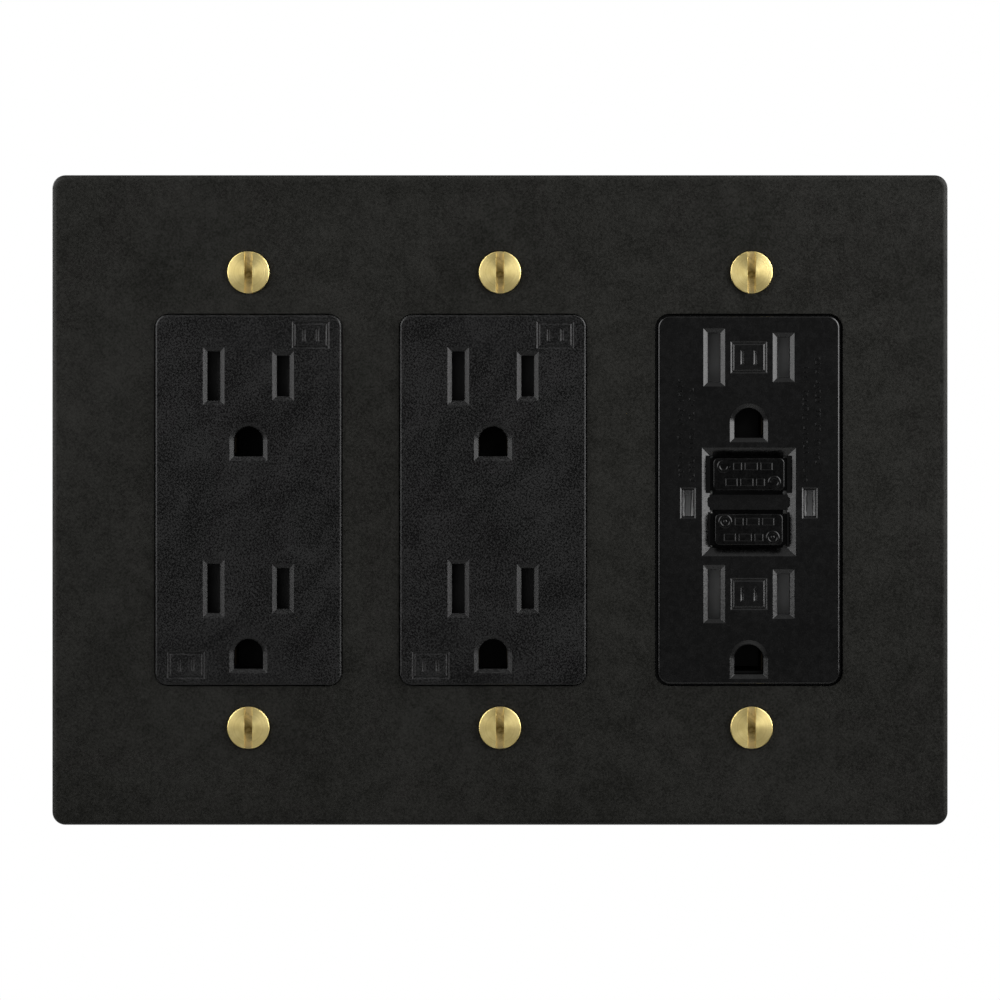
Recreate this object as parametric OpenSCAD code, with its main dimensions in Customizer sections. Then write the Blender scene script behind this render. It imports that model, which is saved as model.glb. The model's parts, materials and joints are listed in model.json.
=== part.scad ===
// Three-gang wall plate with two shuttered duplex receptacles and one ground-fault receptacle.
// X runs along the plate, Z runs up the wall and Y runs into it. The wall surface is y = 0, and
// the origin is the centre of the plate's back face.

/* [Wall plate] */
// Width of the plate
plate_w = 164; // [162:1:172]
// Height of the plate
plate_h = 119; // [117:1:124]
// Depth of the plate from the wall to its front face
plate_depth = 6; // [5.8:0.1:6.5]
// Thickness of the plate's front wall and of its rim
plate_wall = 2.6; // [2:0.1:2.8]
// Radius of the plate's four corners, seen from the front
plate_corner_r = 2.4; // [2.4:0.1:6]
// Radius of the rounded front edge
plate_edge_r = 1.1; // [0.5:0.1:1.2]
// Distance between neighbouring gangs
gang_pitch = 46.04; // [46.04:0.01:46.1]
// Width of each of the three windows
window_w = 34.3; // [34.3:0.1:34.6]
// Height of a window
window_h = 68.1; // [68.1:0.1:68.4]
// Radius of a window's corners
window_corner_r = 2.6; // [2.6:0.1:3]

/* [Plate screws] */
// Distance between the upper and the lower screw of a gang
screw_spacing = 83.34; // [83.3:0.01:83.4]
// Diameter of the turned screw head
screw_head_d = 7.7; // [7:0.1:8]
// Height of the screw head
screw_head_h = 1.8; // [1.4:0.1:2]
// How far the head stands out of the plate
screw_proud = 0.8; // [0.4:0.1:1]
// Width of the driver slot
driver_slot_w = 1.5; // [1:0.1:1.6]
// Diameter of the thread
thread_d = 3.5; // [3.4:0.1:3.6]
// How far the thread reaches past the wall surface
thread_reach = 17; // [12:1:22]

/* [Receptacles] */
// Sideways place of the left, middle and right receptacle, within the play of their straps' slots
device_shift = [0, -1.28, -0.5];
// Width of a duplex face
duplex_w = 34.1; // [33.8:0.1:34.1]
// Height of a duplex face
duplex_h = 67.8; // [67.4:0.1:67.8]
// Width of the ground-fault face
gfci_w = 33.3; // [33.1:0.1:33.5]
// Height of the ground-fault face
gfci_h = 67.4; // [67:0.1:67.5]
// How far a receptacle face stands out of the plate
face_proud = 0.4; // [0:0.1:0.8]
// Radius of a face's corners
face_corner_r = 2.2; // [1.8:0.1:3]
// Radius of a face's front edge
face_edge_r = 0.5; // [0.3:0.1:0.8]
// Width of the plastic body behind the strap
body_w = 32.6; // [32.4:0.1:33]
// Height of the plastic body behind the strap
body_h = 66; // [66:0.1:67]
// Depth of a duplex body
duplex_depth = 22; // [21:0.5:26]
// Depth of the ground-fault body
gfci_depth = 30; // [29.5:0.5:33]
// Thickness of the steel mounting strap
strap_t = 1.3; // [1.1:0.1:1.3]
// Overall length of the mounting strap
strap_l = 105.5; // [105:0.5:107]

/* [Outlets] */
// Distance between the two blade slots
blade_pitch = 12.7; // [12.6:0.1:12.8]
// Drop from the blade slots to the ground hole
ground_drop = 11.9; // [11.8:0.1:12]
// Width of a blade slot
blade_slot_w = 2.3; // [2:0.1:2.4]
// Height of the neutral slot
neutral_slot_h = 9; // [8.6:0.1:9.2]
// Height of the hot slot
hot_slot_h = 7.4; // [7:0.1:7.6]
// Width of the ground hole
ground_hole_w = 5.3; // [5.2:0.1:5.4]
// Drop from the ground hole's centre to its flat bottom
ground_hole_drop = 2.8; // [2.7:0.1:2.9]
// Width of the bevel round a slot or hole
mouth_bevel = 0.85; // [0.5:0.05:0.9]
// Depth of a bevel as a part of its width
bevel_slope = 0.72; // [0.6:0.01:1]
// Sideways travel of a tamper shutter
shutter_travel = 2.8; // [2.8:0.1:2.8]

/* [Buttons] */
// Width of the reset button
reset_w = 13.1; // [12.6:0.1:13.3]
// Height of the reset button
reset_h = 6; // [5.6:0.1:6]
// Inward travel of the reset button
reset_travel = 1.8; // [1:0.1:1.8]
// Width of the test button
test_w = 12.5; // [12:0.1:13.3]
// Height of the test button
test_h = 5.8; // [5.4:0.1:5.8]
// Inward travel of the test button
test_travel = 1.2; // [0.8:0.1:1.2]

/* [Hidden] */
$fn = 48;
eps = 0.5;

// Depths, from the front face back to the wall
plate_front = -plate_depth;
plate_inner = plate_front + plate_wall;
face_front = plate_front - face_proud;
face_inner = face_front + 2.2;
shutter_front = face_inner + 0.1;
shutter_back = shutter_front + 1.6;
retainer_front = shutter_back + 0.15;
flange_front = plate_inner + 0.8;
strap_front = -strap_t;

// Places within one gang
duplex_outlets = [22.7, -16.2];
gfci_outlets = [26.1, -17.2];
blade_x = blade_pitch / 2;
post_x = 13.4;
post_z = 30.6;
post_r = 2.6;
terminal_z = 11;
terminal_y = 8;
body_wall = 3.2;
body_inner_x = body_w / 2 - body_wall;
body_inner_z = 31.4;
ground_tab_x = -8.5;
ground_screw_y = 6.5;
ground_screw_z = -42.2;

// Contact metal
leaf_t = 0.6;
leaf_gap = 0.8;
leaf_front = 4;
web_front = 12.8;
web_back = 13.6;
bar_in = 12.2;
bar_out = 13;
clamp_out = 14;
hot_clip_h = 6.8;
neutral_clip_h = 8.4;

// Ground-fault mechanism
well_w = 14;
well_top = 8;
well_bottom = -8.7;
well_bevel = 1.6;
bar_depth = 1.05;
bar_top = 1;
bar_bottom = -1.8;
reset_z = 4.7;
test_z = -5.4;
button_front = face_front - 0.2;
lip_front = face_inner + 0.1;
mark_rise = 0.12;
mark_slope = 0.16;
lip_back = lip_front + 0.8;
window_x = 11.15;
window_z = -0.55;
pipe_w = 1.4;
pipe_h = 4.3;
lens_w = 2.2;
lens_h = 5.1;
lens_back = face_front + 1.5;
separator_x = 11.9;
separator_z = 31;
board_front = 20.6;
board_back = 22.2;
lamp_front = 18.4;
arm_x = 9;
arm_front = 15;
arm_back = 15.5;
latch_front = 17;
latch_back = 17.8;
plunger_y = 16.6;
plunger_stroke = 1.6;
plunger_tip_z = -2.2;
coil_back_z = -22.6;
coil_front_z = -9.6;

// ---------------------------------------------------------------- shapes used throughout

// A box between two opposite corners
module box(from, to) translate(from) cube(to - from);

// Carries an outline drawn in (x, z) through the depth y0 to y1
module along_y(y0, y1) translate([0, y1, 0]) rotate([90, 0, 0]) linear_extrude(y1 - y0) children();

// Carries an outline drawn in (x, y) up from z0 to z1
module along_z(z0, z1) translate([0, 0, z0]) linear_extrude(z1 - z0) children();

// Carries an outline drawn in (y, z) across from x0 to x1
module along_x(x0, x1) translate([x0, 0, 0]) rotate([90, 0, 90]) linear_extrude(x1 - x0) children();

// Round bars along each axis
module rod_y(r, y0, y1) translate([0, y0, 0]) rotate([-90, 0, 0]) cylinder(r = r, h = y1 - y0);
module rod_x(r, x0, x1) translate([x0, 0, 0]) rotate([0, 90, 0]) cylinder(r = r, h = x1 - x0);
module rod_z(r, z0, z1) translate([0, 0, z0]) cylinder(r = r, h = z1 - z0);

// The children at all four places (+-x, +-z)
module at_corners(x, z) for (sx = [-1, 1], sz = [-1, 1]) translate([sx * x, 0, sz * z]) children();

// The children and their mirror image in x
module both_sides() { children(); mirror([1, 0, 0]) children(); }

// The children in one gang: -1 left, 0 middle, 1 right
module in_gang(i) translate([i * gang_pitch, 0, 0]) children();

// The same, moved sideways with the gang's receptacle
module at_device(i) in_gang(i) translate([device_shift[i + 1], 0, 0]) children();

// Rectangle with round corners, centred
module rounded_rect(w, h, r) {
    square([w - 2 * r, h], center = true);
    square([w, h - 2 * r], center = true);
    for (sx = [-1, 1], sy = [-1, 1]) translate([sx * (w / 2 - r), sy * (h / 2 - r)]) circle(r);
}

// Half a slab's section: out to half, back to depth, with its front corner rounded to radius e
module edge_section(half, depth, e) {
    translate([0, e]) square([half, depth - e]);
    square([half - e, depth]);
    translate([half - e, e]) circle(e);
}

// Upright slab with corner radius r, whose edge at y_soft is rounded to radius e
module soft_slab(w, h, r, e, y_soft, y_flat) {
    depth = abs(y_flat - y_soft);
    turn = y_flat > y_soft ? 0 : 180;
    translate([0, y_soft, 0]) rotate([turn, 0, 0]) {
        at_corners(w / 2 - r, h / 2 - r) rotate([-90, 0, 0]) rotate_extrude() edge_section(r, depth, e);
        along_z(r - h / 2, h / 2 - r) {
            edge_section(w / 2, depth, e);
            mirror([1, 0]) edge_section(w / 2, depth, e);
        }
        along_x(r - w / 2, w / 2 - r) mirror([1, -1]) {
            edge_section(h / 2, depth, e);
            mirror([1, 0]) edge_section(h / 2, depth, e);
        }
    }
}

// Section of a mouth of bevel b over a hole of width w, in the front of a face
module mouth_section(w, b) {
    out = w / 2 + b + eps / bevel_slope;
    deep = face_front + b * bevel_slope;
    polygon([[-out, face_front - eps], [out, face_front - eps], [w / 2, deep], [-w / 2, deep]]);
}

// Four-sided bevelled mouth over a hole of w by h
module bevel_mouth(w, h, b) intersection() {
    along_z(-h / 2 - b - 1, h / 2 + b + 1) mouth_section(w, b);
    along_x(-w / 2 - b - 1, w / 2 + b + 1) mirror([1, -1]) mouth_section(h, b);
}

// Coil spring up the z axis, one swept wire
module coil_spring(mean_r, wire_r, turns, length) {
    sides = 6;
    steps = turns * 8;
    rise = (length - 2 * wire_r) / steps;
    points = [
        for (i = [0:steps], j = [0:sides - 1])
            let (a = 360 * turns * i / steps, b = 360 * j / sides, r = mean_r + wire_r * cos(b))
                [r * cos(a), r * sin(a), wire_r + rise * i + wire_r * sin(b)]
    ];
    walls = [
        for (i = [0:steps - 1], j = [0:sides - 1])
            let (a = i * sides + j, b = i * sides + (j + 1) % sides)
                [a, a + sides, b + sides, b]
    ];
    start = [for (j = [0:sides - 1]) j];
    finish = [for (j = [sides - 1:-1:0]) steps * sides + j];
    polyhedron(points, concat([start, finish], walls));
}

// ---------------------------------------------------------------- plate and its screws

module wall_plate() {
    boss_r = 4.5;
    rib_half = 1;
    rib_reach = 50;
    color("#262724") difference() {
        union() {
            difference() {
                soft_slab(plate_w, plate_h, plate_corner_r, plate_edge_r, plate_front, 0);
                along_y(plate_inner, 1)
                    square([plate_w - 2 * plate_wall, plate_h - 2 * plate_wall], center = true);
            }
            for (i = [-1:1], s = [-1, 1]) in_gang(i)
                translate([0, 0, s * screw_spacing / 2]) rod_y(boss_r, plate_inner - eps, strap_front);
            for (s = [-1, 1])
                translate([s * gang_pitch / 2, 0, 0])
                    box([-rib_half, plate_inner - eps, -rib_reach], [rib_half, strap_front, rib_reach]);
        }
        for (i = [-1:1]) {
            at_device(i) along_y(plate_front - 1, 1)
                rounded_rect(window_w, window_h, window_corner_r);
            for (s = [-1, 1]) in_gang(i) translate([0, 0, s * screw_spacing / 2]) plate_screw_hole();
        }
    }
}

// Clearance hole with a counterbore that sinks the screw head
module plate_screw_hole() {
    hole_r = 2;
    head_clearance = 0.1;
    rod_y(hole_r, plate_front - 1, 1);
    rod_y(screw_head_d / 2 + head_clearance, plate_front - 1, plate_front + screw_head_h - screw_proud);
}

module plate_screws() color("#cdb46e")
    for (i = [-1:1], s = [-1, 1]) in_gang(i) translate([0, 0, s * screw_spacing / 2]) plate_screw();

// Slotted screw: turned head, plain neck through plate and strap, then the thread
module plate_screw() {
    head_front = plate_front - screw_proud;
    head_back = head_front + screw_head_h;
    head_r = screw_head_d / 2;
    rim = 0.25;
    neck_r = 1.55;
    thread_start = 0.3;
    point = 0.8;
    slot_depth = 1.1;
    difference() {
        union() {
            translate([0, head_front, 0])
                rotate([-90, 0, 0]) cylinder(r1 = head_r - rim, r2 = head_r, h = rim);
            rod_y(head_r, head_front + rim, head_back);
            rod_y(neck_r, head_back, thread_start);
            rod_y(thread_d / 2, thread_start, thread_reach - point);
            translate([0, thread_reach - point, 0])
                rotate([-90, 0, 0]) cylinder(r1 = thread_d / 2, r2 = thread_d / 2 - point, h = point);
        }
        box([-driver_slot_w / 2, head_front - 1, -head_r - 1],
            [driver_slot_w / 2, head_front + slot_depth, head_r + 1]);
    }
}

// ---------------------------------------------------------------- faces

// Outline of the ground hole, grown on every side by g: a round top and a flat bottom
module ground_outline(g = 0) {
    r = ground_hole_w / 2 + g;
    circle(r);
    translate([-r, -ground_hole_drop - g]) square([2 * r, ground_hole_drop + g]);
}

// Bevelled mouth that follows the ground hole
module ground_mouth() {
    r = ground_hole_w / 2;
    out = mouth_bevel + eps / bevel_slope;
    deep = face_front + mouth_bevel * bevel_slope;
    translate([0, face_front - eps, 0])
        rotate([-90, 0, 0]) cylinder(r1 = r + out, r2 = r, h = deep - face_front + eps);
    intersection() {
        along_z(-ground_hole_drop - mouth_bevel - 1, 0) mouth_section(ground_hole_w, mouth_bevel);
        along_x(-r - mouth_bevel - 1, r + mouth_bevel + 1) polygon([
            [face_front - eps, 0], [face_front - eps, -ground_hole_drop - out],
            [deep, -ground_hole_drop], [deep, 0]
        ]);
    }
}

// Everything cut for one outlet: two blade slots, the ground hole and the shutter's pocket
module outlet_cuts() {
    for (s = [[-1, neutral_slot_h], [1, hot_slot_h]]) translate([s[0] * blade_x, 0, 0]) {
        box([-blade_slot_w / 2, face_front - 1, -s[1] / 2], [blade_slot_w / 2, face_inner + eps, s[1] / 2]);
        bevel_mouth(blade_slot_w, s[1], mouth_bevel);
    }
    translate([0, 0, -ground_drop]) {
        along_y(face_front - 1, strap_front + eps) ground_outline();
        ground_mouth();
    }
    shutter_pocket();
}

// Pocket for the sliding shutter, with a narrow channel for its spring
module shutter_pocket() {
    half_h = 5.55;
    channel = 1;
    box([-11.25, face_inner, -half_h], [10.85, retainer_front + eps, half_h]);
    box([0, face_inner, -channel], [14.4, retainer_front + eps, channel]);
}

// Space behind a face that the shutter retainer fills, clear of the corner posts
module retainer_space(half_w, half_h, y0, y1, post) difference() {
    box([-half_w, y0, -half_h], [half_w, y1, half_h]);
    at_corners(post_x, post_z) rod_y(post, y0 - 1, y1 + 1);
}

// Sunk mark for a shuttered outlet: a framed pair of slots, all in grooves with sloping sides
module shutter_mark(w, h) {
    line = 0.12;
    bevel = 0.3;
    for (s = [-1, 1]) {
        translate([s * w / 2, 0, 0]) bevel_mouth(line, h + line, bevel);
        translate([0, 0, s * h / 2]) bevel_mouth(w + line, line, bevel);
        translate([s * w * 0.2, 0, 0]) bevel_mouth(line, h * 0.42, bevel);
    }
}

// Face with a flange behind the plate, which closes the gap round the face
module receptacle_face(outlets, w, h) difference() {
    union() {
        soft_slab(w, h, face_corner_r, face_edge_r, face_front, strap_front);
        along_y(flange_front, strap_front) rounded_rect(window_w + 2, window_h + 2, 3);
    }
    retainer_space(14.8, 31.8, retainer_front, strap_front + eps, post_r);
    for (z = outlets) translate([0, 0, z]) outlet_cuts();
    at_corners(post_x, post_z) rod_y(1.45, face_front + 1.4, strap_front + eps);
}

module duplex_face() color("#1e1e1e") difference() {
    receptacle_face(duplex_outlets, duplex_w, duplex_h);
    for (s = [-1, 1]) translate([s * 11.4, 0, s * 30.2]) shutter_mark(6.2, 4.4);
}

module gfci_face() color("#161616") {
    difference() {
        receptacle_face(gfci_outlets, gfci_w, gfci_h);
        for (z = gfci_outlets) translate([0, 0, z]) shutter_mark(6, 5.2);
        translate([0, 0, (well_top + well_bottom) / 2])
            bevel_mouth(well_w, well_top - well_bottom, well_bevel);
        box([-well_w / 2, face_front - 1, well_bottom], [well_w / 2, strap_front + eps, well_top]);
        box([-8.2, face_inner, well_bottom - 0.5], [8.2, strap_front + eps, well_top + 0.5]);
        along_y(face_front - 1, face_front + bar_depth) bar_outline();
        button_pocket(7.9, reset_z, 3.4);
        button_pocket(7.45, test_z, 3.15);
        both_sides() translate([window_x, 0, window_z]) {
            bevel_mouth(lens_w + 0.1, lens_h + 0.1, 0.3);
            box([-lens_w / 2 - 0.05, face_front - 1, -lens_h / 2 - 0.05],
                [lens_w / 2 + 0.05, lens_back + 0.05, lens_h / 2 + 0.05]);
            box([-pipe_w / 2 - 0.05, face_front - 1, -pipe_h / 2 - 0.05],
                [pipe_w / 2 + 0.05, strap_front + eps, pipe_h / 2 + 0.05]);
        }
    }
    box([-8.3, face_front + bar_depth, bar_bottom], [8.3, retainer_front, bar_top]);
}

// Outline of the bar between the buttons, with chamfered ends
module bar_outline() {
    half_w = 7.55;
    chamfer = 0.75;
    polygon([
        [-half_w, bar_bottom + chamfer], [chamfer - half_w, bar_bottom], [half_w - chamfer, bar_bottom],
        [half_w, bar_bottom + chamfer], [half_w, bar_top - chamfer], [half_w - chamfer, bar_top],
        [chamfer - half_w, bar_top], [-half_w, bar_top - chamfer]
    ]);
}

// Room round a button, cut into the bevels at both its ends
module button_pocket(half_w, z, half_h)
    box([-half_w, face_front - 1, z - half_h], [half_w, face_front + 1.5, z + half_h]);

// Thin inner cover that keeps the shutters in the face
module shutter_retainer(outlets) color("#2b2b2b") difference() {
    retainer_space(14.7, 31.7, retainer_front, strap_front, post_r + 0.15);
    for (z = outlets) translate([0, 0, z]) {
        for (s = [[-1, neutral_slot_h], [1, hot_slot_h]]) translate([s[0] * blade_x, 0, 0])
            box([-1.4, retainer_front - 1, -s[1] / 2 - 0.2], [1.4, 1, s[1] / 2 + 0.2]);
        translate([0, 0, -ground_drop]) along_y(retainer_front - 1, 1) ground_outline(0.15);
    }
}

module gfci_shutter_retainer() color("#2b2b2b") difference() {
    shutter_retainer(gfci_outlets);
    box([-8.2, retainer_front - 1, well_bottom - 0.5], [8.2, 1, well_top + 0.5]);
    both_sides() translate([window_x, 0, window_z]) pipe_clearance(retainer_front - 1, 1);
}

// Slot that a light pipe passes through
module pipe_clearance(y0, y1)
    box([-pipe_w / 2 - 0.2, y0, -pipe_h / 2 - 0.2], [pipe_w / 2 + 0.2, y1, pipe_h / 2 + 0.2]);

// Sliding tamper shutter: closed at rest, with two windows that line up when it slides to +x
module shutter() {
    window_half = 1.25;
    ramp = 0.9;
    color("#3a3a3a") difference() {
        box([-11.1, shutter_front, -5.4], [7.9, shutter_back, 5.4]);
        for (s = [[-1, neutral_slot_h], [1, hot_slot_h]]) {
            translate([s[0] * blade_x - shutter_travel, 0, 0])
                box([-window_half, shutter_front - 1, -s[1] / 2], [window_half, shutter_back + 1, s[1] / 2]);
            translate([s[0] * blade_x, 0, 0]) along_z(-s[1] / 2 - 0.2, s[1] / 2 + 0.2) polygon([
                [-1.2, shutter_front - eps], [1.2, shutter_front - eps], [1.2, shutter_front],
                [-1.2, shutter_front + ramp]
            ]);
        }
    }
}

// Small spring that pushes a shutter closed
module shutter_spring() color("silver")
    translate([7.95, (shutter_front + shutter_back) / 2, 0]) rotate([0, 90, 0])
        coil_spring(0.6, 0.12, 7, 6.4);

// ---------------------------------------------------------------- straps and bodies

// Steel strap outline shared by all three receptacles
module strap_outline() {
    neck_w = 17;
    mid_h = 70;
    ear_x = 13.2;
    ear_z = 47.7;
    ear_r = 5;
    rounded_rect(body_w, mid_h, 2);
    rounded_rect(neck_w, strap_l, 1.5);
    for (s = [-1, 1]) {
        translate([0, s * ear_z]) square([2 * ear_x, 3], center = true);
        for (t = [-1, 1]) translate([t * ear_x, s * ear_z]) circle(ear_r);
    }
}

// Holes that every strap has: ears, device slots, plate holes and body screws
module strap_holes() {
    for (s = [-1, 1]) {
        for (t = [-1, 1]) translate([t * 13.2, s * 47.7]) circle(2.2);
        translate([0, s * screw_spacing / 2]) {
            square([3.4, 4.2], center = true);
            for (t = [-1, 1]) translate([t * 1.7, 0]) circle(2.1);
        }
        translate([0, s * 48.42]) circle(1.5);
        for (t = [-1, 1]) translate([t * post_x, s * post_z]) circle(1.6);
    }
}

module mounting_strap(outlets, ground_rise) color("#b9bcc0") difference() {
    union() {
        along_y(strap_front, 0) strap_outline();
        box([ground_tab_x, -strap_t, -46.8], [ground_tab_x + strap_t, 11, -37.6]);
    }
    along_y(strap_front - 1, 1) {
        strap_holes();
        for (z = outlets) {
            for (s = [-1, 1]) translate([s * 6.95, z]) square([8.1, 13], center = true);
            translate([0, z - ground_drop]) square([6.4, 6.4], center = true);
        }
        children();
    }
    translate([0, ground_screw_y, ground_screw_z]) rod_x(1.65, ground_tab_x - 1, ground_tab_x + 3);
}

module duplex_strap() mounting_strap(duplex_outlets);

module gfci_strap() mounting_strap(gfci_outlets) {
    translate([0, -0.3]) square([13, 17.4], center = true);
    for (s = [-1, 1]) translate([s * window_x, window_z]) square([pipe_w + 0.6, pipe_h + 0.6], center = true);
}

// Moulded body: a shell with four corner posts and a recess for each terminal, less its children
module body_shell(depth) {
    floor_t = 1.8;
    difference() {
        soft_slab(body_w, body_h, 2.4, 1, depth, 0);
        difference() {
            box([-body_inner_x, -1, -body_inner_z], [body_inner_x, depth - floor_t, body_inner_z]);
            at_corners(post_x, post_z) rod_y(post_r, -2, depth);
        }
        at_corners(16, terminal_z) box([-3.6, 2.6, -5.3], [3.6, 13.4, 5.3]);
        at_corners(post_x, post_z) {
            rod_y(1.6, -1, depth + 1);
            rod_y(2.3, depth - 2.2, depth + 1);
        }
        along_y(depth - 0.4, depth + 1) rounded_rect(15, 46, 1.5);
        children();
    }
}

// Duplex body with push-in wire holes and their release slots. Inside, two walls keep the ground
// clips apart and ribs stand behind the live contacts.
module duplex_body() color("#1b1b1b") union() {
    body_shell(duplex_depth) at_corners(11, 13) {
        rod_y(1.3, duplex_depth - 3, duplex_depth + 1);
        box([-1.5, duplex_depth - 3, -5.5], [1.5, duplex_depth + 1, -4.3]);
    }
    both_sides() {
        box([3.5, 1.2, -body_inner_z - eps], [4.5, duplex_depth - 1, body_inner_z + eps]);
        for (z = duplex_outlets) box([4, web_back, z - 0.8], [body_inner_x + eps, duplex_depth - 1, z + 0.8]);
    }
}

// Ground-fault body with two wire holes behind each terminal, and inside it a ledge down each side
// that the circuit board rests on
module gfci_body() color("#1b1b1b") union() {
    body_shell(gfci_depth) for (dz = [-3, 3]) at_corners(14.7, terminal_z + dz)
        rod_y(1.1, 13, gfci_depth + 1);
    both_sides() box([12.2, board_back, -20], [body_inner_x + eps, gfci_depth - 1, 20]);
}

// ---------------------------------------------------------------- contacts

// Pair of leaves that grips one blade, with flared tips
module blade_clip(h) both_sides() {
    box([leaf_gap, leaf_front, -h / 2], [leaf_gap + leaf_t, web_front, h / 2]);
    translate([leaf_gap, leaf_front, 0]) rotate([0, 0, -25]) box([0, -1.2, -h / 2], [leaf_t, 0.3, h / 2]);
}

// Hole through a terminal bar, on the hot side, for its screw
module terminal_hole(z) translate([0, terminal_y, z]) rod_x(1.65, bar_in - 1, bar_out + 1);

// Duplex contact strip on the hot side: clips, webs and a side bar with its break-off tab
module duplex_contacts(clip_h) difference() {
    union() {
        for (z = duplex_outlets) translate([0, 0, z]) {
            translate([blade_x, 0, 0]) blade_clip(clip_h);
            box([blade_x - leaf_gap - leaf_t, web_front, -clip_h / 2], [bar_out, web_back, clip_h / 2]);
        }
        box([bar_in, 3.5, duplex_outlets[1] - clip_h / 2],
            [bar_out, web_back, duplex_outlets[0] + clip_h / 2]);
    }
    for (y = [[3, 6.5], [9.5, 14]]) box([bar_in - 1, y[0], -1.5], [bar_out + 1, y[1], 1.5]);
    for (s = [-1, 1]) terminal_hole(s * terminal_z);
}

module duplex_hot_contacts() color("#c9a54a") duplex_contacts(hot_clip_h);
module duplex_neutral_contacts() color("#c8c8c4") mirror([1, 0, 0]) duplex_contacts(neutral_clip_h);

// Ground-fault contact strip on the hot side: clips on a rail, the load terminal and a fixed contact
module load_contacts(clip_h) difference() {
    rail_in = blade_x + leaf_gap;
    rail_out = 10.1;
    union() {
        for (z = gfci_outlets) translate([0, 0, z]) {
            translate([blade_x, 0, 0]) blade_clip(clip_h);
            box([blade_x - leaf_gap - leaf_t, web_front, -clip_h / 2], [rail_out, web_back, clip_h / 2]);
        }
        box([rail_in, web_front, gfci_outlets[1]], [rail_out, web_back, gfci_outlets[0]]);
        box([rail_out - eps, web_front, terminal_z - 5], [bar_out, web_back, terminal_z + 5]);
        box([bar_in, 3.5, terminal_z - 5], [bar_out, web_back, terminal_z + 5]);
        translate([arm_x, 0, 0]) rod_y(1.1, web_back - 0.2, 14.3);
    }
    terminal_hole(terminal_z);
}

module gfci_hot_contacts() color("#c9a54a") load_contacts(hot_clip_h);
module gfci_neutral_contacts() color("#c8c8c4") mirror([1, 0, 0]) load_contacts(neutral_clip_h);

// Flanged clips that grip the ground pins, held against the back of the strap
module ground_contacts(outlets) color("#c9a54a") for (z = outlets) translate([0, 0, z - ground_drop]) {
    clip_half = 2.2;
    difference() {
        box([-5, 0, -clip_half], [5, 0.8, 4.4]);
        box([-2.5, -1, -4], [2.5, 2, 3.2]);
    }
    both_sides() box([2.5, 0.4, -clip_half], [2.5 + leaf_t, 11, clip_half]);
}

module gfci_line_terminals() color("#c9a54a") both_sides() difference() {
    box([bar_in, 3.5, -terminal_z - 5], [bar_out, board_front, -terminal_z + 5]);
    terminal_hole(-terminal_z);
}

// ---------------------------------------------------------------- fasteners on the receptacles

// One terminal screw on the hot side, with a slot across its head
module terminal_screw() difference() {
    union() {
        rod_x(3.4, clamp_out, 16.2);
        rod_x(1.6, 9.8, clamp_out);
    }
    box([15.2, -0.6, -4], [17, 0.6, 4]);
    box([15.2, -4, -0.6], [17, 4, 0.6]);
}

module brass_terminal_screws() color("#cfae55") for (i = [-1:1], s = [-1, 1])
    at_device(i) translate([0, terminal_y, s * terminal_z]) terminal_screw();

module silver_terminal_screws() color("#c9cbcc") for (i = [-1:1], s = [-1, 1])
    at_device(i) translate([0, terminal_y, s * terminal_z]) mirror([1, 0, 0]) terminal_screw();

// Plates under the terminal screws that clamp the wires
module wire_clamp_plates() color("#b9bcc0") for (i = [-1:1], s = [-1, 1])
    at_device(i) translate([0, terminal_y, s * terminal_z]) both_sides() difference() {
        box([bar_out, -4.4, -4.6], [clamp_out, 4.4, 4.6]);
        rod_x(1.75, bar_out - 1, clamp_out + 1);
    }

module ground_screws() color("#2f8f4a") for (i = [-1:1]) at_device(i)
    translate([ground_tab_x, ground_screw_y, ground_screw_z]) difference() {
        union() {
            rod_x(3.6, -0.7, 0);
            translate([-2.6, 0, 0]) rotate([0, 90, 0]) cylinder(r = 3.1, h = 2, $fn = 6);
            rod_x(1.6, -0.1, 3.6);
        }
        box([-3, -0.5, -4], [-1.7, 0.5, 4]);
    }

// Long screws that hold body, strap and face together
module body_screws() color("#a8abaf") for (i = [-1:1]) at_device(i) {
    depth = i == 1 ? gfci_depth : duplex_depth;
    at_corners(post_x, post_z) difference() {
        union() {
            rod_y(1.4, strap_front - 3.3, depth - 1.9);
            rod_y(2.2, depth - 2.2, depth - 0.6);
        }
        for (a = [0, 90]) rotate([0, a, 0]) box([-1.3, depth - 1.3, -0.25], [1.3, depth, 0.25]);
    }
}

// ---------------------------------------------------------------- ground-fault mechanism

// Cap with side lips that stop it in its well
module button_cap(w, h) {
    soft_slab(w, h, 0.9, 0.35, button_front, lip_front + 0.3);
    box([-7.5, lip_front, -h / 2], [7.5, lip_back, h / 2]);
}

// Raised disc of a mark on a button, with a sloping side
module mark_disc(r) translate([0, button_front - mark_rise, 0]) rotate([-90, 0, 0])
    cylinder(r1 = r - mark_slope, r2 = r + mark_slope, h = 2 * mark_rise);

// Raised ring of a mark on a button, sloping on both sides
module mark_ring(r_in, r_out) difference() {
    mark_disc(r_out);
    translate([0, button_front - mark_rise, 0]) rotate([-90, 0, 0])
        translate([0, 0, -mark_rise])
            cylinder(r1 = r_in + 2 * mark_slope, r2 = r_in - mark_slope, h = 3 * mark_rise);
}

// Section of a raised bar, sloping on both sides
module bar_section(w) polygon([
    [-w / 2 - mark_slope, button_front + mark_rise], [w / 2 + mark_slope, button_front + mark_rise],
    [w / 2 - mark_slope, button_front - mark_rise], [mark_slope - w / 2, button_front - mark_rise]
]);

// Raised bar of a mark on a button
module mark_bar(w, h) intersection() {
    along_z(-h, h) bar_section(w);
    along_x(-w, w) mirror([1, -1]) bar_section(h);
}

// Mark for test: a ring round a dot
module ring_mark() {
    mark_disc(0.35);
    mark_ring(0.7, 1.25);
}

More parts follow.
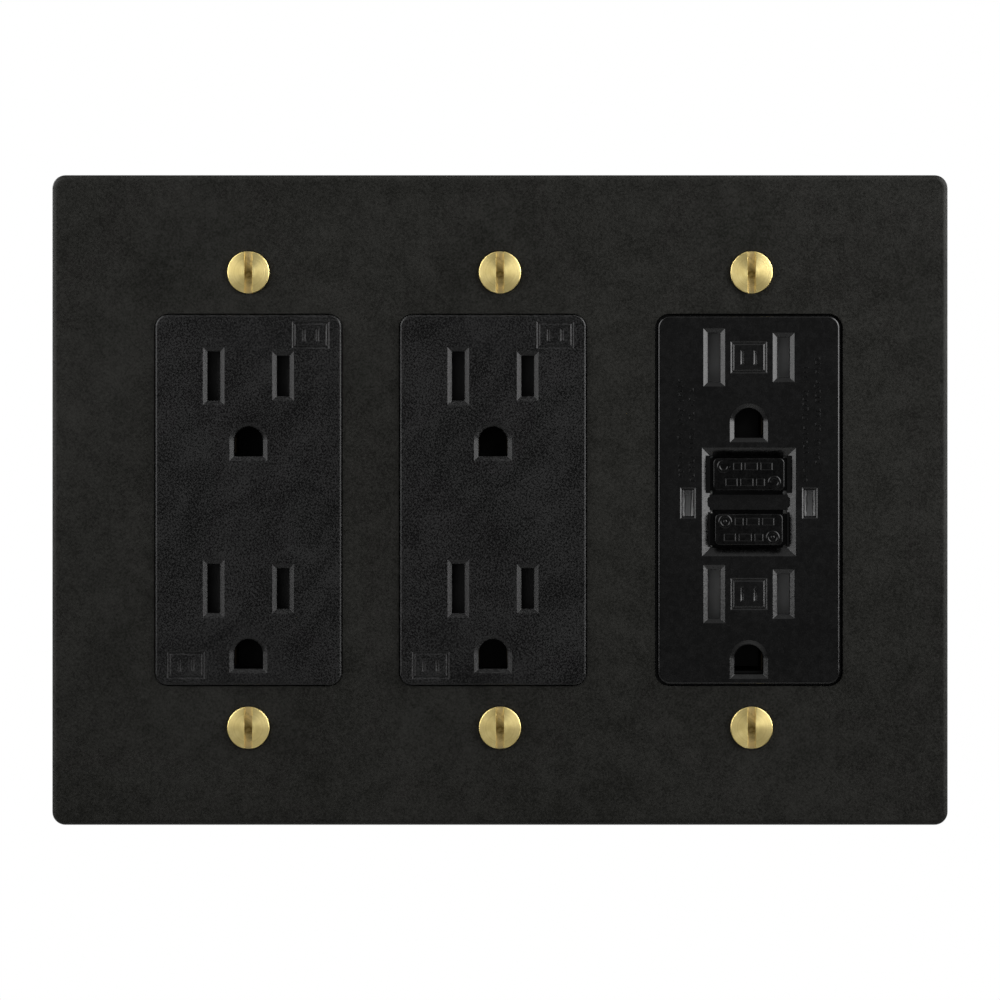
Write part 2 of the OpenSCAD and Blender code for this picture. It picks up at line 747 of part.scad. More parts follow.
// Mark for reset: an open ring with an arrow head
module reset_mark() {
    difference() {
        mark_ring(0.6, 1.2);
        box([0, button_front - 1, 0], [2, button_front + 1, 2]);
    }
    along_y(button_front - mark_rise, button_front + 0.1) polygon([[-0.1, 0.2], [-0.1, 1.65], [0.9, 0.92]]);
}

// A mark beside a row of plain bars, with a copy turned half round so that it reads either way up
module button_marks(w) for (a = [0, 180]) rotate([0, a, 0]) translate([-w / 2, 0, 1.45]) {
    translate([1.9, 0, 0]) children();
    for (k = [[4.45, 1.6], [6.95, 2.4], [9.75, 2.2]]) translate([k[0], 0, 0]) mark_bar(k[1], 1.4);
}

module reset_button() color("#141414") translate([0, 0, reset_z]) difference() {
    union() {
        button_cap(reset_w, reset_h);
        button_marks(reset_w) reset_mark();
    }
    rod_y(1.03, lip_back - 1.4, lip_back + 1);
}

module test_button() color("#141414") translate([0, 0, test_z]) {
    button_cap(test_w, test_h);
    button_marks(test_w) ring_mark();
    box([-1.5, lip_back - 0.2, -1.5], [1.5, 7.9, 1.5]);
}

// Pin that lifts the carriage: its groove holds the latch plate
module reset_pin() color("#b9bcc0") translate([0, 0, reset_z]) {
    rod_y(1, lip_back - 1.35, latch_front - 0.1);
    rod_y(0.6, latch_front - 0.3, latch_back + 0.3);
    rod_y(1, latch_back + 0.1, 18.9);
    translate([0, 18.9, 0]) rotate([-90, 0, 0]) cylinder(r1 = 1, r2 = 0.6, h = 0.5);
}

module reset_spring() color("silver")
    translate([0, lip_back + 0.05, reset_z]) rotate([-90, 0, 0]) coil_spring(2, 0.25, 5, 2.95 - lip_back);

// Leaf that the test button's stem bends back
module test_contact_arm() color("#c9a54a") translate([0, 0, test_z]) {
    box([-6.4, 8, -1.5], [2.5, 8.4, 1.5]);
    box([-6.4, 8, -1.5], [-5.9, board_front, 1.5]);
}

module light_pipes() color([0.8, 0.85, 0.85, 0.6]) both_sides() translate([window_x, 0, window_z]) {
    box([-lens_w / 2, face_front + 0.35, -lens_h / 2], [lens_w / 2, lens_back, lens_h / 2]);
    box([-pipe_w / 2, lens_back - 0.2, -pipe_h / 2], [pipe_w / 2, lamp_front - 0.1, pipe_h / 2]);
}

// Middle housing: holds the contacts in front and keeps them apart from the electronics
module gfci_separator() color("#d8d6cf") difference() {
    union() {
        box([-separator_x, 0, -separator_z], [separator_x, web_front, separator_z]);
        for (z = gfci_outlets)
            box([-4.6, 0, max(z - ground_drop - 4.2, -separator_z)], [4.6, 16, z - ground_drop + 4.2]);
    }
    at_corners(post_x, post_z) rod_y(post_r + 0.2, -1, 20);
    for (z = gfci_outlets) translate([0, 0, z]) {
        for (s = [[-1, neutral_clip_h], [1, hot_clip_h]])
            box([s[0] * blade_x - 2.1, -1, -s[1] / 2 - 0.3],
                [s[0] * blade_x + 2.1, web_front + 1, s[1] / 2 + 0.3]);
        translate([0, 0, -ground_drop]) {
            box([-3.4, -1, -2.9], [3.4, 14.8, 2.9]);
            box([-5.2, -1, -4.6], [5.2, 1, 4.6]);
        }
    }
    at_corners(12, terminal_z) box([-2.5, terminal_y - 2.2, -2.2], [2.5, terminal_y + 2.2, 2.2]);
    both_sides() translate([window_x, 0, window_z]) pipe_clearance(-1, 20);
    translate([0, 0, reset_z]) {
        rod_y(1.3, -1, 20);
        rod_y(3, -1, 3);
    }
    translate([0, 0, test_z]) {
        box([-1.8, -1, -1.8], [1.8, 20, 1.8]);
        box([-7.4, 7.6, -1.8], [4, 20, 1.8]);
    }
}

module circuit_board() color("#2d6b3f") difference() {
    box([-12.9, board_front, -27.4], [12.9, board_back, 27.4]);
    translate([0, 0, reset_z]) rod_y(1.7, 20, 23);
}

// Parts soldered on the board: indicator lamps in front, the rest behind
module board_components() {
    color("#e8e8e0") both_sides()
        box([window_x - 1, lamp_front, window_z - 1.5], [window_x + 1, board_front, window_z + 1.5]);
    color("#2a5fa8") translate([-6.4, 0, -14]) rod_y(4.6, board_back, 25.8);
    color("#c23b2a") box([1, board_back, -20], [11, 27.4, -9]);
    color("#202020") box([-3, board_back, -6], [3, 23.8, -2]);
    color("#202020") for (x = [-10.5, 10.5]) translate([x, 23.4, 0]) rod_z(1.2, -5, 1);
}

// Two stacked toroids that compare the line currents
module sensing_coils() for (y = [22.5, 25.3]) color("#8a5a2b")
    translate([0, y, 14.5]) rotate([-90, 0, 0]) difference() {
        cylinder(r = 6.6, h = 2.4);
        translate([0, 0, -1]) cylinder(r = 3.2, h = 5);
    }

module coil_bobbin() color("#e4e2da") translate([0, plunger_y, 0]) difference() {
    union() {
        rod_z(2.2, coil_back_z, coil_front_z);
        rod_z(3.3, coil_back_z, coil_back_z + 0.8);
        rod_z(3.3, coil_front_z - 0.8, coil_front_z);
    }
    rod_z(1.75, coil_back_z - 1, coil_front_z + 1);
}

module coil_winding() color("#b5652a") translate([0, plunger_y, 0]) difference() {
    rod_z(3, coil_back_z + 0.8, coil_front_z - 0.8);
    rod_z(2.2, coil_back_z, coil_front_z);
}

module solenoid_frame() color("#a8abaf") difference() {
    union() {
        box([-4.2, 13.2, -23.5], [4.2, board_front, coil_back_z]);
        box([-4.2, 13.2, -6], [4.2, board_front, -5]);
        box([-4.2, 19.9, -23.5], [4.2, board_front, -5]);
    }
    translate([0, plunger_y, 0]) {
        rod_z(1.8, -24, -22);
        rod_z(1, -7, -4);
    }
}

module trip_plunger() color("#b9bcc0") translate([0, plunger_y, 0]) {
    rod_z(1.6, -24, -10);
    rod_z(0.8, -10.2, plunger_tip_z);
}

module plunger_spring() color("silver") translate([0, plunger_y, -9.95]) coil_spring(1.15, 0.15, 5, 3.9);

// Sliding plate with a keyhole: the narrow end holds the reset pin, the round end lets it go
module latch_plate() color("#b9bcc0") {
    tab_z = plunger_tip_z + 0.05;
    difference() {
        box([-3, latch_front, tab_z], [3, latch_back, 7.2]);
        translate([0, 0, reset_z - plunger_stroke]) rod_y(1.2, latch_front - 1, latch_back + 1);
        box([-0.65, latch_front - 1, reset_z - plunger_stroke], [0.65, latch_back + 1, reset_z + 0.7]);
    }
    box([-1.5, 15.4, tab_z], [1.5, latch_back, tab_z + 0.8]);
}

// Block on the reset pin that lifts both contact arms
module contact_carriage() color("#d8d6cf") difference() {
    box([-10.4, arm_back + 0.02, 1.9], [10.4, 18.5, 7.5]);
    box([-3.1, latch_front - 0.1, 1], [3.1, latch_back + 0.1, 9]);
    translate([0, 0, reset_z]) rod_y(1.15, 10, 20);
}

// Sprung arms from the board that carry the moving contacts
module contact_arms() color("#c9a54a") both_sides() {
    box([arm_x - 1.1, arm_front, -1.4], [arm_x + 1.1, arm_back, 25]);
    box([arm_x - 1.1, arm_front, 24.5], [arm_x + 1.1, board_front, 25]);
    translate([arm_x, 0, 0]) rod_y(1.1, 14.3, arm_front + 0.2);
}

// ---------------------------------------------------------------- nodes

wall_plate();
plate_screws();
body_screws();
brass_terminal_screws();
silver_terminal_screws();
ground_screws();
wire_clamp_plates();

at_device(-1) duplex_face();  // left_face
at_device(-1) shutter_retainer(duplex_outlets);  // left_shutter_retainer
at_device(-1) translate([0, 0, duplex_outlets[0]]) shutter();  // left_upper_shutter
at_device(-1) translate([0, 0, duplex_outlets[1]]) shutter();  // left_lower_shutter
at_device(-1) translate([0, 0, duplex_outlets[0]]) shutter_spring();  // left_upper_shutter_spring
at_device(-1) translate([0, 0, duplex_outlets[1]]) shutter_spring();  // left_lower_shutter_spring
at_device(-1) duplex_strap();  // left_strap
at_device(-1) duplex_body();  // left_back_body
at_device(-1) duplex_hot_contacts();  // left_hot_contacts
at_device(-1) duplex_neutral_contacts();  // left_neutral_contacts
at_device(-1) ground_contacts(duplex_outlets);  // left_ground_contacts

at_device(0) duplex_face();  // middle_face
at_device(0) shutter_retainer(duplex_outlets);  // middle_shutter_retainer
at_device(0) translate([0, 0, duplex_outlets[0]]) shutter();  // middle_upper_shutter
at_device(0) translate([0, 0, duplex_outlets[1]]) shutter();  // middle_lower_shutter
at_device(0) translate([0, 0, duplex_outlets[0]]) shutter_spring();  // middle_upper_shutter_spring
at_device(0) translate([0, 0, duplex_outlets[1]]) shutter_spring();  // middle_lower_shutter_spring
at_device(0) duplex_strap();  // middle_strap
at_device(0) duplex_body();  // middle_back_body
at_device(0) duplex_hot_contacts();  // middle_hot_contacts
at_device(0) duplex_neutral_contacts();  // middle_neutral_contacts
at_device(0) ground_contacts(duplex_outlets);  // middle_ground_contacts

at_device(1) gfci_face();
at_device(1) gfci_shutter_retainer();
at_device(1) translate([0, 0, gfci_outlets[0]]) shutter();  // gfci_upper_shutter
at_device(1) translate([0, 0, gfci_outlets[1]]) shutter();  // gfci_lower_shutter
at_device(1) translate([0, 0, gfci_outlets[0]]) shutter_spring();  // gfci_upper_shutter_spring
at_device(1) translate([0, 0, gfci_outlets[1]]) shutter_spring();  // gfci_lower_shutter_spring
at_device(1) gfci_strap();
at_device(1) gfci_separator();
at_device(1) gfci_body();  // gfci_back_body
at_device(1) gfci_hot_contacts();
at_device(1) gfci_neutral_contacts();
at_device(1) ground_contacts(gfci_outlets);  // gfci_ground_contacts
at_device(1) gfci_line_terminals();
at_device(1) reset_button();
at_device(1) reset_pin();
at_device(1) reset_spring();
at_device(1) test_button();
at_device(1) test_contact_arm();
at_device(1) light_pipes();
at_device(1) circuit_board();
at_device(1) board_components();
at_device(1) sensing_coils();
at_device(1) coil_bobbin();
at_device(1) coil_winding();
at_device(1) solenoid_frame();
at_device(1) trip_plunger();
at_device(1) plunger_spring();
at_device(1) latch_plate();
at_device(1) contact_carriage();
at_device(1) contact_arms();
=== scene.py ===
"""Looks for the three-gang wall plate with two duplex receptacles and a ground-fault receptacle."""

import json
import math
import random

import bmesh
import bpy
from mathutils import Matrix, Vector, noise


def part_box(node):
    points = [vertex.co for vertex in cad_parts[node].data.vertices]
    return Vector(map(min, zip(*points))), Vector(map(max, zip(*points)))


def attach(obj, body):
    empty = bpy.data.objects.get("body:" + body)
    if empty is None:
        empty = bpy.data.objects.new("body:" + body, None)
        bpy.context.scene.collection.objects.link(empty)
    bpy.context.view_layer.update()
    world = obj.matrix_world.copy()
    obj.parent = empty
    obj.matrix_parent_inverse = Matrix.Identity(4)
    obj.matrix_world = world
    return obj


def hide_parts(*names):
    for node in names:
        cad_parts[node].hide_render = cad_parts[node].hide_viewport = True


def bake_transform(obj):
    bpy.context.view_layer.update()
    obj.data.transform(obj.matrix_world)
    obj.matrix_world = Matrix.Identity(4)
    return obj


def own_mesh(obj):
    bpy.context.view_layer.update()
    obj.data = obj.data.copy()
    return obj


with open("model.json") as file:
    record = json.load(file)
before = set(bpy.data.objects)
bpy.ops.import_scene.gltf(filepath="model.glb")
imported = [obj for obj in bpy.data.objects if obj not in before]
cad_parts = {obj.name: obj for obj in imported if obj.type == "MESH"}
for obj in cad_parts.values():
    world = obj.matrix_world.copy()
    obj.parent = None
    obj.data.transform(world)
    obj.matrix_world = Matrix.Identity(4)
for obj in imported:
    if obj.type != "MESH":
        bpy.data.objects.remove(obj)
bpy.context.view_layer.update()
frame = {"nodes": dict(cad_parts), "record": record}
nodes = frame["nodes"]
scene = bpy.context.scene

MM = 0.001
ROOT = "plate_and_receptacles"
body_of = {n: b for b, ns in frame["record"]["behaviour"]["bodies"].items() for n in ns}
slot_of = {s["node"]: s["material_slot"] for s in frame["record"]["subparts"]}
plate_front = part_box("wall_plate")[0].y
face_low, face_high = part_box("gfci_face")
GFCI_X = (face_low.x + face_high.x) / 2
SCREW_X, SCREW_Z = 46.04 * MM, 41.67 * MM
gangs = {"left": -SCREW_X, "middle": 0.0, "gfci": SCREW_X}


# ---------------------------------------------------------------- camera and studio


def make_camera():
    """Straight in front of the plate, with a long lens and its centre in the middle of the picture."""
    data = bpy.data.cameras.new("camera")
    data.lens = 200
    data.sensor_width = 36
    seen_width = 0.183
    camera = bpy.data.objects.new("camera", data)
    camera.location = (0, plate_front - seen_width * data.lens / data.sensor_width, 0)
    camera.rotation_euler = (math.radians(90), 0, 0)
    data.clip_start, data.clip_end = 0.01, 20
    scene.collection.objects.link(camera)
    scene.camera = camera


def soft_light(name, at, size, power):
    """A white area light that the camera doesn't see, turned towards the middle of the plate."""
    data = bpy.data.lights.new(name, "AREA")
    data.shape = "RECTANGLE"
    data.size, data.size_y = size
    data.energy = power
    light = bpy.data.objects.new(name, data)
    light.location = at
    light.rotation_euler = (-Vector(at)).to_track_quat("-Z", "Y").to_euler()
    light.visible_camera = False
    scene.collection.objects.link(light)
    return data


def make_studio():
    """White behind the object, little light from all round, a pale floor and six soft lights."""
    world = bpy.data.worlds.new("studio")
    world.use_nodes = True
    tree = world.node_tree
    tree.nodes.clear()
    surroundings = tree.nodes.new("ShaderNodeBackground")
    surroundings.inputs["Color"].default_value = (0.95, 0.97, 1.0, 1)
    surroundings.inputs["Strength"].default_value = 0.05
    paper = tree.nodes.new("ShaderNodeBackground")
    paper.inputs["Color"].default_value = (1, 1, 1, 1)
    paper.inputs["Strength"].default_value = 1.0
    path = tree.nodes.new("ShaderNodeLightPath")
    mix = tree.nodes.new("ShaderNodeMixShader")
    out = tree.nodes.new("ShaderNodeOutputWorld")
    tree.links.new(path.outputs["Is Camera Ray"], mix.inputs[0])
    tree.links.new(surroundings.outputs[0], mix.inputs[1])
    tree.links.new(paper.outputs[0], mix.inputs[2])
    tree.links.new(mix.outputs[0], out.inputs["Surface"])
    scene.world = world
    scene.view_settings.view_transform = "Standard"
    scene.view_settings.look = "None"

    floor_z = -0.26
    bpy.ops.mesh.primitive_circle_add(vertices=128, radius=0.95, fill_type="NGON", location=(0, 0, floor_z))
    floor = bpy.context.object
    floor.name = "floor"
    look = Look("floor_paper", (0.82, 0.82, 0.81), 0.9, specular=0.1)
    look.tint(look.noise(30, 2), (0.815, 0.815, 0.805), (0.825, 0.825, 0.815))
    floor.data.materials.append(look.material)

    for side, power in ((-1, 0.48), (1, 0.76)):
        lamp = soft_light(f"side_{side}", (side * 0.25, -0.085, 0.125), (0.22, 0.32), power)
        lamp.spread = math.radians(100)
    soft_light("top", (0, -0.22, 0.5), (0.6, 0.3), 0.35)
    soft_light("front", (0, -1.7, 0.3), (1.2, 1.0), 0.8)
    soft_light("behind_left", (-0.9, 1.0, 0.45), (0.7, 0.7), 13)
    soft_light("behind_right", (0.9, 1.1, 0.3), (0.7, 0.7), 10)


# ---------------------------------------------------------------- materials


class Look:
    """A Principled material whose colour, roughness and bump are built from procedural layers."""

    def __init__(self, name, colour, rough, metal=0.0, specular=0.5, **fixed):
        self.material = bpy.data.materials.new(name)
        self.material.use_nodes = True
        self.tree = self.material.node_tree
        self.shader = self.tree.nodes["Principled BSDF"]
        self.set("Base Color", (*colour, 1))
        self.set("Roughness", rough)
        self.set("Metallic", metal)
        self.set("Specular IOR Level", specular)
        for key, value in fixed.items():
            self.set(key.replace("_", " "), value)
        self.coordinates = self.tree.nodes.new("ShaderNodeTexCoord").outputs["Object"]
        self.last_bump = None

    def set(self, socket, value):
        self.shader.inputs[socket].default_value = value

    def link(self, a, b):
        self.tree.links.new(a, b)

    def math(self, operation, *values):
        node = self.tree.nodes.new("ShaderNodeMath")
        node.operation = operation
        for socket, value in zip(node.inputs, values):
            if isinstance(value, (int, float)):
                socket.default_value = value
            else:
                self.link(value, socket)
        return node.outputs[0]

    def axes(self):
        """The object's own X, Y and Z."""
        node = self.tree.nodes.new("ShaderNodeSeparateXYZ")
        self.link(self.coordinates, node.inputs[0])
        return node.outputs

    def stretched(self, factors, turn=0.0):
        """Coordinates for a texture drawn out by factors along axes turned by turn degrees about Y."""
        node = self.tree.nodes.new("ShaderNodeMapping")
        node.vector_type = "TEXTURE"
        node.inputs["Rotation"].default_value = (0, math.radians(turn), 0)
        node.inputs["Scale"].default_value = factors
        self.link(self.coordinates, node.inputs["Vector"])
        return node.outputs[0]

    def noise(self, scale, detail=2.0, rough=0.5, distortion=0.0, stretch=None, turn=0.0):
        node = self.tree.nodes.new("ShaderNodeTexNoise")
        node.inputs["Scale"].default_value = scale
        node.inputs["Detail"].default_value = detail
        node.inputs["Roughness"].default_value = rough
        node.inputs["Distortion"].default_value = distortion
        self.link(self.stretched(stretch, turn) if stretch else self.coordinates, node.inputs["Vector"])
        return node.outputs["Fac"]

    def sum(self, *layers):
        """Layers given as (fac, weight), added up."""
        total = None
        for fac, weight in layers:
            part = self.math("MULTIPLY", fac, weight)
            total = part if total is None else self.math("ADD", total, part)
        return total

    def cells(self, scale):
        node = self.tree.nodes.new("ShaderNodeTexVoronoi")
        node.feature = "SMOOTH_F1"
        node.inputs["Scale"].default_value = scale
        self.link(self.coordinates, node.inputs["Vector"])
        return node.outputs["Distance"]

    def rings(self, scale, detail):
        """Random rings round the object's own Y axis."""
        flat = self.tree.nodes.new("ShaderNodeVectorMath")
        flat.operation = "MULTIPLY"
        flat.inputs[1].default_value = (1, 0, 1)
        self.link(self.coordinates, flat.inputs[0])
        length = self.tree.nodes.new("ShaderNodeVectorMath")
        length.operation = "LENGTH"
        self.link(flat.outputs["Vector"], length.inputs[0])
        node = self.tree.nodes.new("ShaderNodeTexNoise")
        node.noise_dimensions = "1D"
        node.inputs["Scale"].default_value = scale
        node.inputs["Detail"].default_value = detail
        self.link(length.outputs["Value"], node.inputs["W"])
        return node.outputs["Fac"]

    def bands(self, scale, direction, distortion=0.0):
        node = self.tree.nodes.new("ShaderNodeTexWave")
        node.bands_direction = direction
        node.inputs["Scale"].default_value = scale
        node.inputs["Distortion"].default_value = distortion
        self.link(self.coordinates, node.inputs["Vector"])
        return node.outputs["Fac"]

    def spread(self, fac, low, high, start=0.35, stop=0.65):
        """fac, which is mostly between start and stop, carried to low..high."""
        node = self.tree.nodes.new("ShaderNodeMapRange")
        node.inputs["From Min"].default_value = start
        node.inputs["From Max"].default_value = stop
        node.inputs["To Min"].default_value = low
        node.inputs["To Max"].default_value = high
        self.link(fac, node.inputs["Value"])
        return node.outputs[0]

    def tint(self, fac, dark, light, start=0.3, stop=0.7):
        node = self.tree.nodes.new("ShaderNodeValToRGB")
        node.color_ramp.elements[0].position = start
        node.color_ramp.elements[0].color = (*dark, 1)
        node.color_ramp.elements[1].position = stop
        node.color_ramp.elements[1].color = (*light, 1)
        self.link(fac, node.inputs["Fac"])
        self.link(node.outputs["Color"], self.shader.inputs["Base Color"])

    def rough(self, fac, low, high, start=0.3, stop=0.7):
        self.link(self.spread(fac, low, high, start, stop), self.shader.inputs["Roughness"])

    def bump(self, fac, depth, strength=1.0):
        node = self.tree.nodes.new("ShaderNodeBump")
        node.inputs["Distance"].default_value = depth
        node.inputs["Strength"].default_value = strength
        self.link(fac, node.inputs["Height"])
        if self.last_bump is not None:
            self.link(self.last_bump, node.inputs["Normal"])
        self.last_bump = node.outputs["Normal"]
        self.link(self.last_bump, self.shader.inputs["Normal"])


def powder_coat():
    look = Look("powder_coat", (0.0145, 0.0144, 0.0129), 0.5, specular=0.08)
    grain = look.noise(2900, 3, 0.8)
    both = look.sum((look.noise(34, 4, 0.6), 0.16), (look.noise(260, 4, 0.7), 0.24), (grain, 0.6))
    look.tint(both, (0.0060, 0.0060, 0.0051), (0.0196, 0.0194, 0.0175), 0.40, 0.60)
    look.rough(both, 0.45, 0.56, 0.40, 0.60)
    look.bump(grain, 0.03 * MM, 0.7)
    look.bump(look.cells(3200), 0.012 * MM, 0.5)
    return look


def grained_plastic():
    look = Look("grained_plastic", (0.007, 0.007, 0.007), 0.4, specular=0.2)
    clouds = look.noise(170, 4, 0.6, 0.4, (1.0, 1.0, 1.6), 48)
    hatch = look.sum((look.noise(4700, 1, 0.5, 0.2, (1.0, 1.0, 1.8), 40), 0.5),
                     (look.noise(4700, 1, 0.5, 0.2, (1.0, 1.0, 1.8), -42), 0.5))
    both = look.sum((clouds, 0.2), (hatch, 0.8))
    look.tint(both, (0.0001,) * 3, (0.0165,) * 3, 0.44, 0.57)
    look.rough(both, 0.33, 0.47, 0.42, 0.58)
    look.bump(hatch, 0.03 * MM, 0.9)
    look.bump(look.noise(700, 2, 0.5, 0.3), 0.02 * MM, 0.3)
    return look


def smooth_plastic(name="smooth_plastic", shade=1.0, specular=0.31):
    look = Look(name, (0.0009, 0.0009, 0.0009), 0.26, specular=specular)
    fine = look.noise(3600, 2, 0.7)
    both = look.sum((look.noise(130, 3, 0.6, 0.6), 0.2), (look.noise(900, 3, 0.6, 0.4), 0.4), (fine, 0.4))
    look.tint(both, (shade * 0.0001,) * 3, (shade * 0.0036,) * 3, 0.42, 0.62)
    look.rough(both, 0.21, 0.31, 0.40, 0.62)
    look.bump(look.noise(1500, 3, 0.6), 0.03 * MM, 0.6)
    look.bump(look.noise(420, 2, 0.5), 0.04 * MM, 0.3)
    return look


def dull_plastic(name, colour, rough=0.5, specular=0.45):
    look = Look(name, colour, rough, specular=specular)
    grain = look.noise(2200, 2, 0.5)
    patches = look.noise(160, 3)
    look.tint(patches, tuple(x * 0.8 for x in colour), tuple(x * 1.2 for x in colour))
    look.rough(patches, rough - 0.07, rough + 0.07)
    look.bump(grain, 0.012 * MM, 0.5)
    return look


def turned_brass():
    """Brass with fine turning rings round the screw's own axis."""
    look = Look("turned_brass", (0.82, 0.68, 0.30), 0.5, metal=1.0,
                Anisotropic=0.6, Anisotropic_Rotation=0.25)
    tangent = look.tree.nodes.new("ShaderNodeTangent")
    tangent.direction_type = "RADIAL"
    tangent.axis = "Y"
    look.link(tangent.outputs[0], look.shader.inputs["Tangent"])
    rings = look.rings(5200, 2)
    wide = look.rings(1300, 1)
    stains = look.noise(420, 3, 0.6)
    look.tint(look.sum((wide, 0.4), (stains, 0.6)), (0.72, 0.57, 0.22), (0.90, 0.75, 0.34), 0.34, 0.66)
    look.rough(rings, 0.44, 0.58)
    look.bump(rings, 0.005 * MM, 0.7)
    look.bump(wide, 0.02 * MM, 0.6)
    return look


def slot_brass_painted_shade():
    """Brass that is dull, with painted shade that makes it dark halfway along the driver slot and brighter
    towards its open ends.
    """
    look = Look("slot_brass_painted_shade", (0.4, 0.3, 0.12), 0.45, metal=1.0)
    # Painted shade: the colour gets darker towards the middle of the slot floor, away from its open ends.
    along = look.math("MULTIPLY", look.math("ABSOLUTE", look.axes()["Z"]), 230)
    stains = look.noise(520, 3, 0.6, 0.5)
    look.tint(look.sum((along, 0.6), (stains, 0.8)), (0.24, 0.17, 0.05), (0.98, 0.80, 0.40), 0.40, 0.80)
    look.rough(stains, 0.38, 0.52)
    look.bump(stains, 0.03 * MM, 0.5)
    return look


def plated_metal(name, cool, warm, rough=0.36, scratches=0.006):
    look = Look(name, cool, rough, metal=1.0)
    patches = look.noise(150, 4, 0.6, 0.5)
    fine = look.noise(2400, 2, 0.6, 0.0, (1.0, 1.0, 0.12))
    look.tint(patches, cool, warm)
    look.rough(look.sum((patches, 0.5), (fine, 0.5)), rough - 0.1, rough + 0.12)
    look.bump(fine, scratches * MM, 0.6)
    return look


def dyed_metal():
    look = Look("green_screw", (0.03, 0.17, 0.06), 0.34, metal=0.85)
    patches = look.noise(500, 3)
    look.tint(patches, (0.02, 0.12, 0.045), (0.045, 0.24, 0.09))
    look.rough(patches, 0.26, 0.44)
    look.bump(look.noise(3000, 2), 0.006 * MM, 0.6)
    return look


def clear_pipe():
    """Clear plastic with a grey middle, painted bright highlight strips and painted dark lines down both
    sides, painted shade at both ends, painted highlight streaks, and painted light that is brighter towards
    the lower end.
    """
    look = Look("clear_pipe", (0.1, 0.1, 0.1), 0.14, specular=0.4, Transmission_Weight=0.25, IOR=1.49)
    low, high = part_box("light_pipes")
    half_width = 1.1 * MM
    between = (high.x - low.x) / 2 - half_width
    axes = look.axes()
    from_middle = look.math("ABSOLUTE", look.math("SUBTRACT", axes["X"], (low.x + high.x) / 2))
    offset = look.math("ABSOLUTE", look.math("SUBTRACT", from_middle, between))
    across = look.math("DIVIDE", offset, half_width)
    height = look.math("SUBTRACT", axes["Z"], (low.z + high.z) / 2)
    along = look.math("DIVIDE", height, (high.z - low.z) / 2)
    # Painted highlights and shade: through the colour ramp below, this mask lays bright strips and dark
    # lines down both sides and dark ends.
    rim = look.math("MAXIMUM", across, look.math("GREATER_THAN", look.math("ABSOLUTE", along), 0.93))
    streaks = look.noise(1500, 2, 0.6, 0.6, (1.0, 1.0, 4.0))
    look.tint(look.sum((rim, 0.8), (streaks, 0.3)), (0.045, 0.046, 0.046), (0.006, 0.006, 0.006), 0.12, 0.90)
    ramp = look.shader.inputs["Base Color"].links[0].from_node
    for place, shade in ((0.44, 0.05), (0.52, 0.01), (0.59, 0.01), (0.64, 0.15), (0.83, 0.15)):
        ramp.color_ramp.elements.new(place).color = (shade, shade, shade, 1)
    # Painted light: the colour is scaled brighter towards the lower end and darker towards the upper end.
    painted_light_scale = look.tree.nodes.new("ShaderNodeVectorMath")
    painted_light_scale.operation = "SCALE"
    look.link(ramp.outputs["Color"], painted_light_scale.inputs[0])
    look.link(look.spread(along, 1.5, 0.6, -0.9, 0.9), painted_light_scale.inputs["Scale"])
    look.link(painted_light_scale.outputs["Vector"], look.shader.inputs["Base Color"])
    look.rough(streaks, 0.08, 0.18)
    look.bump(streaks, 0.03 * MM, 0.5)
    return look


def board_look():
    look = Look("circuit_board", (0.02, 0.11, 0.04), 0.35, specular=0.5)
    tracks = look.bands(260, "X", 2.0)
    look.tint(tracks, (0.012, 0.08, 0.028), (0.03, 0.16, 0.06), 0.45, 0.55)
    look.rough(look.noise(400, 2), 0.28, 0.42)
    look.bump(tracks, 0.02 * MM, 0.5)
    return look


def winding_look(direction):
    look = Look(f"copper_wire_{direction.lower()}", (0.62, 0.26, 0.10), 0.3, metal=1.0)
    turns = look.bands(1250, direction)
    look.tint(turns, (0.35, 0.13, 0.05), (0.75, 0.36, 0.16), 0.2, 0.8)
    look.rough(turns, 0.24, 0.4, 0, 1)
    look.bump(turns, 0.12 * MM, 0.8)
    return look


# ---------------------------------------------------------------- pieces


def new_object(name, mesh, look):
    mesh.materials.clear()
    mesh.materials.append(look.material)
    obj = bpy.data.objects.new(name, mesh)
    scene.collection.objects.link(obj)
    return obj


def stands_for(piece, body, slot, *replaced):
    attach(piece, body)
    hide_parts(*replaced)


def sharp_edges(bm, degrees):
    limit = math.radians(degrees)
    return [e for e in bm.edges if len(e.link_faces) == 2 and e.calc_face_angle(0) > limit]


def refine(node, look, bevel):
    """Stands for a CAD node: its shape with flat faces merged and edges softened by bevel millimetres."""
    sharp = 30
    source = nodes[node]
    mesh = source.data.copy()
    mesh.name = f"{node}_detail"
    bm = bmesh.new()
    bm.from_mesh(mesh)
    bmesh.ops.remove_doubles(bm, verts=bm.verts, dist=2e-6)
    bmesh.ops.dissolve_limit(bm, angle_limit=math.radians(0.4), verts=bm.verts, edges=bm.edges)
    if bevel:
        bmesh.ops.bevel(bm, geom=sharp_edges(bm, sharp), offset=bevel * MM, offset_type="OFFSET",
                        profile=0.5, segments=2, affect="EDGES", clamp_overlap=False)
    for face in bm.faces:
        face.smooth = True
    for edge in bm.edges:
        edge.smooth = True
    for edge in sharp_edges(bm, sharp):
        edge.smooth = False
    bm.to_mesh(mesh)
    bm.free()
    piece = new_object(mesh.name, mesh, look)
    normals = piece.modifiers.new("weighted", "WEIGHTED_NORMAL")
    normals.keep_sharp = True
    normals.weight = 80
    stands_for(piece, body_of[node], slot_of[node], node)
    return piece


def finish_cad(node, look):
    obj = nodes[node]
    obj.data.materials.clear()
    obj.data.materials.append(look.material)


